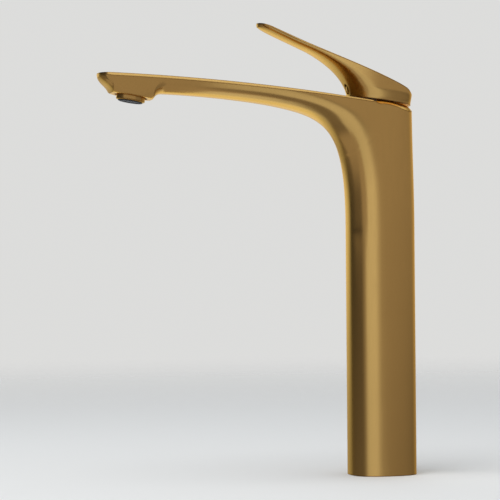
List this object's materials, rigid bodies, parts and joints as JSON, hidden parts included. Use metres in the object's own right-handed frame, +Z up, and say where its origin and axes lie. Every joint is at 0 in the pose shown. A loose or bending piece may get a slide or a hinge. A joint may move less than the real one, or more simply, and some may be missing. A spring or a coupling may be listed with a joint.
{
  "type": "basin mixer faucet",
  "caption": "Tall single-lever basin mixer with a tapered spout, tilting lever, ceramic cartridge, aerator and a threaded deck fixing.",
  "frame": {"origin": "on the deck plane, on the centre line of the column", "axes": "+Z up, the spout points to -Y, X across"},
  "size_m": [0.052, 0.2183, 0.3617],
  "materials": {
    "brushed_gold": "satin brushed gold plating",
    "lever_gold": "satin brushed gold plating",
    "raw_brass": "machined",
    "steel": "machined",
    "rubber": "matt",
    "ceramic": "lapped",
    "cartridge_plastic": "moulded",
    "dark_plastic": "moulded"
  },
  "bodies": {
    "root": {"body": "brushed_gold", "trim_ring": "dark_plastic", "aerator_shell": "brushed_gold", "aerator_seal": "rubber", "aerator_insert": "dark_plastic", "aerator_screen": "steel", "flow_regulator": "cartridge_plastic", "fixed_disc": "ceramic", "cartridge_base": "cartridge_plastic", "cartridge_housing": "cartridge_plastic", "cartridge_nut": "raw_brass", "housing_seal": "rubber", "inlet_seal_hot": "rubber", "inlet_seal_cold": "rubber", "mounting_shank": "raw_brass", "mounting_nut": "raw_brass", "steel_washer": "steel", "rubber_washer": "rubber", "deck_seal": "rubber"},
    "turret": {"rotor": "cartridge_plastic", "pivot_pin": "steel"},
    "lever": {"lever_handle": "lever_gold", "stem": "steel", "grub_screw": "steel", "index_plug": "lever_gold"},
    "disc": {"moving_disc": "ceramic", "disc_carrier": "cartridge_plastic"}
  },
  "joints": [
    {"name": "lever_swing", "type": "hinge", "parent": "root", "child": "turret", "pos_m": [0, -0.00334, 0.22683], "axis": [0, 0.1392, 0.9903], "range_deg": [-45, 45]},
    {"name": "lever_lift", "type": "hinge", "parent": "turret", "child": "lever", "pos_m": [0, -0.00334, 0.22683], "axis": [-1, 0, 0], "range_deg": [0, 25]},
    {"name": "disc_slide", "type": "slide", "parent": "turret", "child": "disc", "axis": [0, -0.9903, 0.1392], "range_m": [0, 0.0022]}
  ],
  "couplings": [
    {"joint": "disc_slide", "follows": "lever_lift", "m_per_rad": 0.00496}
  ]
}
